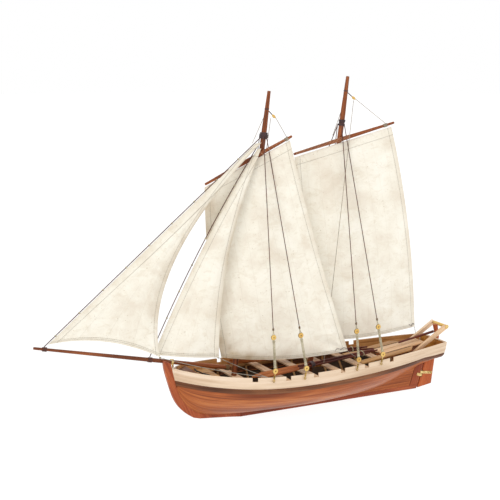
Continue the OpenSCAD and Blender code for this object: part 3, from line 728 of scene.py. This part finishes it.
fore_yard_radius, main_yard_radius = tapered(3.1, 1.4), tapered(2.9, 1.2)
spar("foremast_turned", (FORE_FOOT, mast_at(FORE_FOOT, FORE_TOP)), mast_radius, "foremast", 0)
spar("mainmast_turned", (MAIN_FOOT, mast_at(MAIN_FOOT, MAIN_TOP)), mast_radius, "mainmast", 613)
spar("bowsprit_turned", SPRIT, lambda t: mast_radius(t, 3.1, 0.44, 1.1), "bowsprit", 1377)
spar("fore_yard_turned", FORE_YARD, fore_yard_radius, "fore_yard", 1811)
spar("main_yard_turned", MAIN_YARD, main_yard_radius, "main_yard", 2203)
spar("tiller_turned", (Vector((-224.6, 0, 86.3)), Vector((-160, 0, 76))), lambda t: 2 - 0.6 * t, "tiller", 97,
     material=DARK_WOOD, body="rudder")

HINGE_FOOT, HINGE_SLOPE, PINTLE_Z = Vector((-194.4, 0, 0)), 0.313, 21.4


def by_hinge(x, y, z):
    """Point given forward of, beside and up the rudder's raked axis."""
    lean = math.atan(HINGE_SLOPE)
    forward, up = x * math.cos(lean) - z * math.sin(lean), x * math.sin(lean) + z * math.cos(lean)
    return HINGE_FOOT + Vector((forward, y, up))


nails = Shape()
dip = math.radians(9)
for side in (1, -1):
    for run in (7, 12, 17):
        x, z = -run * math.cos(dip) + 2 * math.sin(dip), 2.4 + run * math.sin(dip) + 2 * math.cos(dip)
        head = [by_hinge(x, side * y, PINTLE_Z + z) for y in (3.3, 3.58, 3.66)]
        nails.tube(head, [0.62, 0.62, 0.3], 10)
piece("strap_nails", nails, IRON, body="rudder", slot="brass")
bosses = Shape()
for side in (1, -1):
    at = Vector((-235, side * 19.25, 96.6))
    bosses.tube([at, at + Vector((0, side * 0.7, 0)), at + Vector((0, side * 0.95, 0))], [3.1, 3.1, 2.5], 24)
piece("davit_bosses", bosses, BOXWOOD, slot="boxwood")

collars = Shape()
for foot, z, top, bands in (
    (FORE_FOOT, 400.5, FORE_TOP, ((-4.3, 4.3, 1.5), (-3.2, 1.8, 2.2))),
    (MAIN_FOOT, 414, MAIN_TOP, ((-4.3, -1.4, 0.9), (1.2, 4.3, 0.9), (-1, 1, 0.3))),
):
    for low, high, grow in bands:
        r = mast_radius((z - foot.z) / (top - foot.z)) + grow
        winding(collars, mast_at(foot, z + low), mast_at(foot, z + high), r, 0.95)
piece("mast_collars_wound", collars, TWINE, "mast_collars", slot="dark_rope")
heel = Shape()
winding(heel, sprit_at(124), sprit_at(129.6), 3.6, 0.95)
piece("heel_lashing_wound", heel, BROWN_CORD, "heel_lashing", slot="pale_rope")


# ---------- standing rigging

DEADEYE_X = [90, 42, -46, -90]
STROP_RING = 3.55
SHROUD_R, STAY_R, LINE_R, LANYARD_R = 0.6, 0.66, 0.4, 0.5


def hound_of(i):
    foot, z = (FORE_FOOT, 400) if i < 2 else (MAIN_FOOT, 411)
    return mast_at(foot, z, 5.8) + Vector((3 if i % 2 == 0 else -1.5, 0, 0))


def lower_eye(i):
    x = DEADEYE_X[i]
    return Vector((x, rail_y(x) + 2.6, rail_z(x) + 10))


def upper_eye(i):
    return lerp(lower_eye(i), hound_of(i), 0.143 if i < 2 else 0.121)


def sided(p, side):
    return Vector((p.x, p.y * side, p.z))


def deadeye(shape, at, turn):
    """Turned disc with a groove round its rim and a hole through its middle."""
    half = [(0.95, -1.3), (1.15, -1.55), (2.9, -1.6), (3.5, -1.35), (3.8, -0.95), (3.25, -0.4)]
    profile = half + [(3.1, 0)] + [(r, -y) for r, y in reversed(half)] + [(0.9, 0)]
    rows = []
    for k in range(33):
        a = TAU * k / 32
        rows.append([at + Vector((r * math.cos(a), y, r * math.sin(a))) for r, y in profile])
    across = runs_of([Vector(p) for p in profile + profile[:1]])
    shape.grid(rows, [4 * math.cos(TAU * k / 32) + turn for k in range(33)], across, caps=False)


lanyards = Shape()
for side, name in SIDES:
    eyes, strops, shrouds, tails, plugs, beads = (Shape() for _ in range(6))
    for i in range(4):
        low, high, hound = (sided(p, side) for p in (lower_eye(i), upper_eye(i), hound_of(i)))
        climb = (hound - high).normalized()
        deadeye(eyes, low, 40 * i)
        deadeye(eyes, high, 40 * i + 20)
        for at in (low, high):
            rim = circle(at, Vector((STROP_RING, 0, 0)), Vector((0, 0, STROP_RING)), 28)
            strops.tube(rim, 0.5, 8, lay=2.4, closed=True)
            knot(plugs, at, 0.75, 0.5)
        # The strop's two parts come together above the deadeye and are seized there
        for lean in (-1, 1):
            tails.tube(
                curve([high + Vector((lean * 2.6, 0, 2.6)), high + climb * 5.2 + Vector((lean * 0.7, 0, 0)),
                       high + climb * 12], 0.6), 0.55, 8, lay=2.2)
        winding(strops, high + climb * 9.6, high + climb * 12.6, 1.15, 0.6)
        shrouds.tube(path([high + climb * 8.5, hound], 0.8), SHROUD_R, 9, lay=4.2)
        rise = (high - low).normalized()
        for x, y in ((-0.99, 0.8), (-0.363, -0.9), (0.33, 0.9), (0.99, -0.7)):
            start, end = (at + Vector((x, y, 0)) for at in (low + rise * 3.2, high - rise * 3.2))
            lanyards.tube(path([start, end], 0.7), LANYARD_R, 8, lay=2.4)
        for end, turn in ((low + rise * 4.6, 1), (high - rise * 5.2, -1)):
            winding(lanyards, end, end + rise * 1.6 * turn, 1.9, 0.55, squash=0.8)
        # Served loop of wire through the eyebolt under each lower deadeye
        foot = low + Vector((2, -0.3 * side, -14.5))
        winding(beads, foot + Vector((0, -0.75, 0.2)), foot + Vector((0, 0.75, 0.2)), 1.55, 0.75)
        winding(beads, lerp(low, foot, 0.42), lerp(low, foot, 0.8), 0.85, 0.6)
    piece(f"deadeyes_{name}_turned", eyes, BOXWOOD, f"deadeyes_{name}", slot="boxwood", weld=True)
    piece(f"deadeye_plugs_{name}", plugs, TWINE, slot="dark_rope")
    piece(f"chain_loops_{name}", beads, BRASS_WIRE, slot="brass")
    piece(f"strops_{name}", strops, BROWN_CORD, slot="dark_rope")
    piece(f"strop_tails_{name}", tails, HEMP, slot="pale_rope")
    piece(f"shrouds_{name}_laid", shrouds, TARRED, f"shrouds_{name}", slot="dark_rope")
piece("lanyards_laid", lanyards, HEMP, "lanyards", slot="pale_rope")

# Fore stays as [lower end, upper end, sag at mid length]
JIB_STAY = [Vector((398, -0.5, 137)), Vector((78, 0, 398.5)), Vector((0, 0, 0))]
STAYSAIL_STAY = [Vector((247, -5.5, 103.2)), Vector((83.2, 1.4, 387.5)), Vector((8, 0, 0))]
MAIN_STAY = [(-47, 0, 413), (-39, -7, 385), (108, -9, 82)]


def on_stay(stay, f):
    return lerp(stay[0], stay[1], f) + stay[2] * 4 * f * (1 - f)


stays = Shape()
fore_stays = [[on_stay(stay, k / 16) for k in range(17)] for stay in (JIB_STAY, STAYSAIL_STAY)]
for route in fore_stays + [MAIN_STAY]:
    stays.tube(path(route, 0.8), STAY_R, 9, lay=4.2)
for x, radius in ((397.5, 2.6), (247, 3.2)):
    winding(stays, sprit_at(x - 3), sprit_at(x + 3), radius, 1.0)
piece("stays_laid", stays, TARRED, "stays", slot="dark_rope")

hanks = Shape()
for stay, first, step, count in ((JIB_STAY, 0.05, 0.105, 9), (STAYSAIL_STAY, 0.06, 0.125, 7)):
    for k in range(count):
        at = on_stay(stay, first + step * k)
        along = (on_stay(stay, first + step * k + 0.01) - at).normalized()
        winding(hanks, at - along * 0.8, at + along * 0.8, 1.0, 0.55)
        knot(hanks, at + Vector((-0.4, 1.1, -0.6)), 0.5, 0.45)
piece("sail_hanks_tied", hanks, HEMP, "sail_hanks", slot="brass")


# ---------- running rigging

FORE_BLOCK, MAIN_BLOCK = Vector((60, 4, 427)), Vector((-70, 4, 449))
lines = Shape()
for a, b in (
    (FORE_BLOCK + Vector((-2, 1, -1)), Vector((49, 21.6, 399))),
    (MAIN_BLOCK + Vector((-2, 1, -1)), Vector((-113, 22.3, 412.6))),
    (FORE_BLOCK + Vector((1, -7, -3)), Vector((110, -12, 64))),
    (MAIN_BLOCK + Vector((4, 6.5, -3)), Vector((-9, 31.4, 71.6))),
    (mast_at(FORE_FOOT, 427) + Vector((2.9, 0, 0)), Vector((91.4, 0, 390.6))),
    (mast_at(MAIN_FOOT, 432) + Vector((3.1, 0, 0)), Vector((-40.6, -4.2, 395.8))),
):
    lines.tube(path([a, b], 0.8), LINE_R, 6, lay=2.6)
for yard, at in ((FORE_YARD, 0.06), (MAIN_YARD, 0.09)):
    winding(lines, lerp(yard[1], yard[0], at - 0.018), lerp(yard[1], yard[0], at + 0.018), 2.4, 0.7)
piece("halyards_laid", lines, GREY_LINE, "halyards", slot="pale_rope")

head_lacing = Shape()
for yard, radius, low, high, gap in (
    (MAIN_YARD, main_yard_radius, 0.015, 0.56, 2.1), (FORE_YARD, fore_yard_radius, 0.62, 0.97, 6.0),
):
    a, b = lerp(*yard, low), lerp(*yard, high)
    winding(head_lacing, a, b, lambda t: radius(lerp(low, high, t)) + 0.15, 0.5, turns=(b - a).length / gap)
piece("head_lacings", head_lacing, LACING, slot="pale_rope")

sheet_lines = Shape()
pin = Vector((100, rail_y(100) + 0.6, rail_z(100) + 1.2))
for a, b, sag in (
    (Vector((238.5, 12, 105.2)), pin, 3.0),
    (Vector((150.6, 12.3, 94.3)), pin + Vector((1, -1, 0)), 1.0),
    (Vector((-44.3, 40.4, 86.6)), Vector((-69, 23, 70)), 0.3),
    (Vector((-174.5, 20.3, 103.6)), Vector((-203, -17.4, 82.5)), 0.3),
):
    n = max(8, round((b - a).length / 0.8))
    route = [lerp(a, b, i / n) - Vector((0, 0, 4 * sag * (i / n) * (1 - i / n))) for i in range(n + 1)]
    sheet_lines.tube(route, LINE_R, 6, lay=2.6)
piece("sheets_laid", sheet_lines, SHEET_LINE, "sheets", slot="pale_rope")


def block(shape, at, aim):
    """Egg-shaped block with a groove for its strop."""
    size = 5.4
    side = aim.cross(Vector((0, 1, 0))).normalized()
    up = aim.cross(side)
    rows = []
    for i in range(21):
        t = i / 20
        r = math.sin(math.pi * min(max(t, 0.02), 0.98)) ** 0.55
        row = []
        for k in range(24):
            a = TAU * k / 24
            groove = 1 - 0.16 * math.exp(-((math.cos(a) / 0.16) ** 2))
            row.append(at + aim * (t - 0.5) * size * 1.25
                       + r * groove * (0.36 * size * math.cos(a) * side + 0.48 * size * math.sin(a) * up))
        rows.append(row)
    shape.grid(rows, [i * 0.3 for i in range(21)], [k * 0.6 for k in range(25)])


blocks, block_strops = Shape(), Shape()
for at, foot in ((FORE_BLOCK, FORE_FOOT), (MAIN_BLOCK, MAIN_FOOT)):
    hook = mast_at(foot, at.z + 10)
    aim = (hook - at).normalized()
    block(blocks, at, aim)
    strop = curve([at + aim * 3.4, lerp(at, hook, 0.6) + Vector((-0.3, -0.5, 0)), hook], 0.5)
    block_strops.tube(strop, 0.7, 8, lay=2.6)
    winding(block_strops, hook - Vector((-0.1, 0, 0.8)), hook + Vector((-0.1, 0, 0.8)), 3.0, 0.8)
piece("halyard_blocks_carved", blocks, BOXWOOD, "halyard_blocks", slot="boxwood")
piece("block_strops", block_strops, TWINE, slot="dark_rope")


# ---------- sails

SAIL_T = 0.55
# Each sail: its two long edges as low end, high end and bow; the belly's bow at the foot; its depth
JIB = [[(393, 0.6, 139.6), (87.6, 1.7, 390.2), (0, 0.8, 0)],
       [(239, 12, 106), (79.8, 4.8, 391.5), (53, 2, -5)], (0, 0, 13), 6]
STAYSAIL = [[(241.8, -3.8, 106.5), (85.2, 2.9, 383), (7.2, 0, 0)],
            [(151, 12, 95), (81.6, 6, 383.6), (18, 3, 0)], (0, 2, -1.5), 5]
FORESAIL = [[(141, 1, 91), (149.5, -32.5, 328.8), (5, -2, 0)],
            [(-44, 40, 87), (44.5, 22.5, 394.5), (5, 2, 0)], (6, 3, -6.5), 9]
MAINSAIL = [[(6, 7, 102), (17, -12.5, 366.5), (0, -1, 0)],
            [(-174.5, 20, 104), (-123, 23, 407.5), (-8, 2, 0)], (0, 1, -7), 9]


def edge_point(edge, t):
    low, high, bow = (Vector(p) for p in edge)
    return lerp(low, high, t) + 4 * t * (1 - t) * bow


def sail_point(sail, s, t):
    a, b = edge_point(sail[0], t), edge_point(sail[1], t)
    bow = (1 - t) ** 2 * Vector(sail[2]) + Vector((0, sail[3] * 4 * t * (1 - t), 0))
    return lerp(a, b, s) + 4 * s * (1 - s) * bow


def soft_step(x, a, b):
    t = min(max((x - a) / (b - a), 0), 1)
    return t * t * (3 - 2 * t)


def cut_of(plan, n=24):
    """Area of the cloth as it was cut, with its hollow edges, and the length of its longer side."""
    p = [[sail_point(plan, i / n, j / n) for i in range(n + 1)] for j in range(n + 1)]
    area = sum(
        (p[j][i + 1] - p[j][i]).cross(p[j + 1][i] - p[j][i]).length for j in range(n) for i in range(n)
    )
    sides = (sum((p[j + 1][i] - p[j][i]).length for j in range(n)) for i in (0, n))
    return area, max(sides)


def sail(name, plan, node, cloths, curl, seed, creases, held_by, stains_and_shade, luff_hem=7.8):
    """A cut and hemmed sail: belly, creases, hems and cloth seams, as one thin closed sheet.

    cloths is how many strips it is sewn from, curl how far its after edge turns, seed sets its ripples apart.
    """
    across, up = 84, 110
    shape = Shape()
    for key in ("cloth", "sides", "ends", "panels", "shade"):
        shape.maps[key] = []
    middle = [[sail_point(plan, i / across, j / up) for i in range(across + 1)] for j in range(up + 1)]
    runs_s = [runs_of(row) for row in middle]
    runs_t = [[0.0] * (across + 1)]
    for low, high in zip(middle, middle[1:]):
        runs_t.append([r + (q - p).length for r, p, q in zip(runs_t[-1], low, high)])
    scale_s = max(r[-1] for r in runs_s)
    halves, places = [], []
    for j in range(up + 1):
        for i in range(across + 1):
            s, t = i / across, j / up
            luff, leech = runs_s[j][i], runs_s[j][-1] - runs_s[j][i]
            foot, head = runs_t[j][i], runs_t[-1][i] - runs_t[j][i]
            p = middle[j][i]
            calm = soft_step(min(luff, foot, head, leech + 4), 0, 26)
            q = Vector((s * scale_s / 55, foot / 62, seed))
            wave = noise.noise(q) * 1.5 + noise.noise(q * 2.3) * 0.8 + noise.noise(q * 5.1) * 0.25
            p.y += 0.9 * wave * calm
            for corner_s, corner_t, reach, count, size in creases:
                ds, dt = (s - corner_s) * scale_s, (t - corner_t) * runs_t[-1][i]
                r = math.hypot(ds, dt)
                ripple = math.sin(count * math.atan2(dt, ds) + seed)
                p.y += size * soft_step(r, 4, 22) * math.exp(-r / reach) * ripple
            if curl:
                p.y += curl * soft_step(leech, 10, 0) * (0.7 + 0.5 * math.sin(7 * t + seed))
            hem = max(1 - soft_step(luff, luff_hem - 0.6, luff_hem + 0.1), 1 - soft_step(leech, 5.7, 6.4),
                      1 - soft_step(foot, 4.6, 5.3), 1 - soft_step(head, 11.2, 12.0))
            seam = abs((s * cloths % 1.0) - 0.5) > 0.47 and 0.02 < s < 0.98
            rim = soft_step(min(luff, leech, foot, head), 0, 0.8)
            halves.append((SAIL_T / 2 + 0.13 * hem + 0.07 * seam) * lerp(0.55, 1, rim))
            # Stains mixed with painted shade, summed from the sail's spots
            stain_and_shade = sum(
                size * math.exp(-(((s - at_s) / wide) ** 2) - ((t - at_t) / tall) ** 2)
                for at_s, at_t, wide, tall, size in stains_and_shade
            )
            places.append({
                "grain": (s * scale_s * MM, foot * MM), "cloth": (s * scale_s * MM, foot * MM),
                "sides": (luff * 7.8 / luff_hem * MM, leech * MM), "ends": (foot * MM, head * MM),
                "panels": (s * cloths, t), "shade": (min(0.8, stain_and_shade), 0),
            })
    flat = [p for row in middle for p in row]
    shape.points = [p + Vector((0, face * half, 0)) for face in (1, -1) for p, half in zip(flat, halves)]
    m, total = across + 1, len(flat)

    def add(corners):
        shape.faces.append(corners)
        for key, faces in shape.maps.items():
            faces.append([places[k % total][key] for k in corners])

    for j in range(up):
        for i in range(across):
            k = j * m + i
            add([k, k + 1, k + m + 1, k + m])
            add([total + k + m, total + k + m + 1, total + k + 1, total + k])
    rim = list(range(m)) + [j * m + across for j in range(1, up + 1)]
    rim += [up * m + i for i in range(across - 1, -1, -1)] + [j * m for j in range(up - 1, 0, -1)]
    for a, b in zip(rim, rim[1:] + rim[:1]):
        add([a, b, total + b, total + a])
    obj = piece(name, shape, CLOTH, node, slot="sailcloth", smooth=60)
    area, length = cut_of(plan)


# Creases are (share across, share up, reach, count, depth), each fan starting at one corner.
# Stains and painted shade are (share across, share up, width, height, strength): painted shade along the
# jib's and staysail's leech and the foresail's luff, a stain mixed with painted shade at the foresail's foot
# and fore corner, and two faint darker spots on the mainsail.
sail("jib_sewn", JIB, "jib", 4, 1.6, 3.1, [(1, 0, 60, 9, 1.5), (0, 0, 30, 7, 0.5)], "stays_laid",
     [(1, 0.55, 0.22, 0.32, 0.5), (1, 0.9, 0.4, 0.12, 0.3)], luff_hem=11.8)
sail("staysail_sewn", STAYSAIL, "staysail", 4, 1.4, 7.7, [(1, 0, 40, 8, 0.7), (0, 1, 50, 6, 0.8)],
     "stays_laid", [(1, 0.55, 0.16, 0.3, 0.5)])
sail("foresail_sewn", FORESAIL, "foresail", 8, 0, 12.9, [(1, 0, 90, 9, 1.5), (0, 0, 60, 7, 1.6)],
     "fore_yard_turned", [(0, 0.8, 0.16, 0.3, 0.5), (0.0, 0.05, 0.12, 0.1, 1.0), (0.2, 0.0, 0.3, 0.04, 1.0),
                          (0.03, 0.4, 0.06, 0.25, 0.35)])
sail("mainsail_sewn", MAINSAIL, "mainsail", 9, 0, 17.3, [(1, 0, 60, 8, 1.0), (0, 1, 60, 7, 1.0)],
     "main_yard_turned", [(0.55, 0.84, 0.2, 0.06, 0.14), (0.9, 0.1, 0.15, 0.1, 0.12)])

lacing = Shape()
for plan, marks in (
    (FORESAIL, ((0.905, 0.012), (0.93, 0.022), (0.952, 0.014), (0.975, 0.02), (0.995, 0.012))),
    (MAINSAIL, ((0.945, 0.02), (0.965, 0.008), (0.98, 0.02), (0.995, 0.01))),
):
    spots = [sail_point(plan, a, b) + Vector((0, 1.0, 0)) for a, b in marks]
    lacing.tube(curve(spots, 0.5), 0.3, 6, lay=1.6)
    for spot in spots[::2]:
        knot(lacing, spot, 0.4, 0.36)
piece("clew_lacings", lacing, PURPLE_TWINE, "sheets", slot="dark_rope")
clew_knots = Shape()
for plan, spread in ((JIB, 1.0), (STAYSAIL, 0.8)):
    knot(clew_knots, Vector(plan[1][0]) + Vector((0, 0, -0.6)), spread, 0.8)
piece("clew_knots", clew_knots, BROWN_CORD, "sheets", slot="pale_rope")


# ---------- gear in the boat


def oar(loom, blade, a, b, side):
    """Oar with a round dark loom and a long flat paler blade at its forward end."""
    n, joint = 60, 40
    rows, along = [], []
    for i in range(n + 1):
        t = i / n
        flat = soft_step(t, 0.62, 0.74)
        tip = 1 - soft_step(t, 0.97, 1.0) * 0.6
        handle = 0.72 + 0.28 * soft_step(t, 0.02, 0.06)
        half_y = lerp(1.6 * handle, 0.75, flat) * tip
        half_z = lerp(1.6 * handle, 2.7, flat) * tip
        p = lerp(a, b, t)
        turn = math.radians(18) * side * flat
        ring = []
        for k in range(20):
            angle = TAU * k / 20
            y, z = half_y * math.cos(angle), half_z * math.sin(angle)
            out, up = y * math.cos(turn) - z * math.sin(turn), y * math.sin(turn) + z * math.cos(turn)
            ring.append(p + Vector((0, out, up)))
        rows.append(ring)
        along.append(t * (b - a).length)
    around = [k * 0.5 for k in range(21)]
    loom.grid(rows[: joint + 1], along[: joint + 1], around)
    blade.grid(rows[joint:], along[joint:], around)


OAR_AFT, OAR_FORE = Vector((-118, 9, 70.8)), Vector((112, 43, 68.4))
for side, name in SIDES:
    looms, blades = Shape(), Shape()
    for k in range(3):
        shift = Vector((0, 3.6 * (k - 1), 2.6 * (k % 2)))
        oar(looms, blades, sided(OAR_AFT + shift + Vector((9 * k, 0, 0)), side),
            sided(OAR_FORE + shift - Vector((5 * k, 0, 0)), side), side)
    piece(f"oar_looms_{name}", looms, DARK_WOOD, f"oars_{name}", slot="oar_wood")
    piece(f"oar_blades_{name}", blades, BLADE_WOOD, f"oars_{name}", slot="oar_wood")
ties, pale_ties = Shape(), Shape()
for side in (1, -1):
    for shape, share, half, wire in ((ties, 0.555, 3.2, 0.9), (pale_ties, 0.145, 0.8, 0.8)):
        run = (OAR_FORE - OAR_AFT).normalized() * half
        middle = lerp(OAR_AFT, OAR_FORE, share) + Vector((0, 0, 1.3))
        winding(shape, sided(middle - run, side), sided(middle + run, side), 3.9, wire, squash=1.52)
piece("oar_lashings_wound", ties, TWINE, "oar_lashings", slot="dark_rope")
piece("oar_ties", pale_ties, HEMP, "oar_lashings", slot="pale_rope")
eased("anchor", IRON, width=0.2, slot="blackened_iron")


# ---------- studio and camera


def studio():
    """White surroundings, two lamps and a camera set to the photo's view."""
    mesh = bpy.data.meshes.new("studio_floor")
    mesh.from_pydata(circle(Vector(), Vector((9, 0, 0)), Vector((0, 9, 0)), 64), [], [list(range(64))])
    floor = bpy.data.objects.new("studio_floor", mesh)
    bpy.context.collection.objects.link(floor)
    n = Nodes("studio_paper")
    fibre = n.noise(n.coords(), 90.0, 4)
    grey = n.ramp(fibre, (0.3, (0.12, 0.12, 0.12, 1)), (0.7, (0.14, 0.14, 0.14, 1)))
    mesh.materials.append(n.surface(
        fibre, 0.0001, Base_Color=grey, Roughness=0.9, Specular_IOR_Level=0.1, Emission_Color=(1, 1, 1, 1),
        Emission_Strength=0.95,
    ))
    world = bpy.data.worlds.new("studio_air")
    bpy.context.scene.world = world
    world.use_nodes = True
    air = world.node_tree.nodes["Background"]
    air.inputs[0].default_value = (1.0, 1.0, 1.0, 1)
    air.inputs[1].default_value = 1.0
    for name, place, size, power, tint in (
        ("key", (2.2, 1.6, 2.6), 1.6, 26, (1, 0.98, 0.95)),
        ("fill", (-2.2, 2.4, 1.2), 2.0, 4, (0.96, 0.98, 1)),
    ):
        light = bpy.data.lights.new(name, "AREA")
        light.shape = "SQUARE"
        light.size = size
        light.energy = power
        light.color = tint
        lamp = bpy.data.objects.new(name, light)
        lamp.location = place
        lamp.rotation_euler = (Vector((0.05, 0, 0.22)) - Vector(place)).to_track_quat("-Z", "Y").to_euler()
        bpy.context.collection.objects.link(lamp)
    camera = bpy.data.objects.new("camera", bpy.data.cameras.new("camera"))
    camera.location = (0.8621, 1.4863, 0.5448)
    aim = Vector((0.095, 0, 0.2407))
    camera.rotation_euler = (aim - camera.location).to_track_quat("-Z", "Y").to_euler()
    camera.data.lens = 87.09
    camera.data.sensor_width = 36
    camera.data.clip_start = 0.05
    bpy.context.collection.objects.link(camera)
    bpy.context.scene.camera = camera
    bpy.context.scene.view_settings.view_transform = "Standard"


studio()
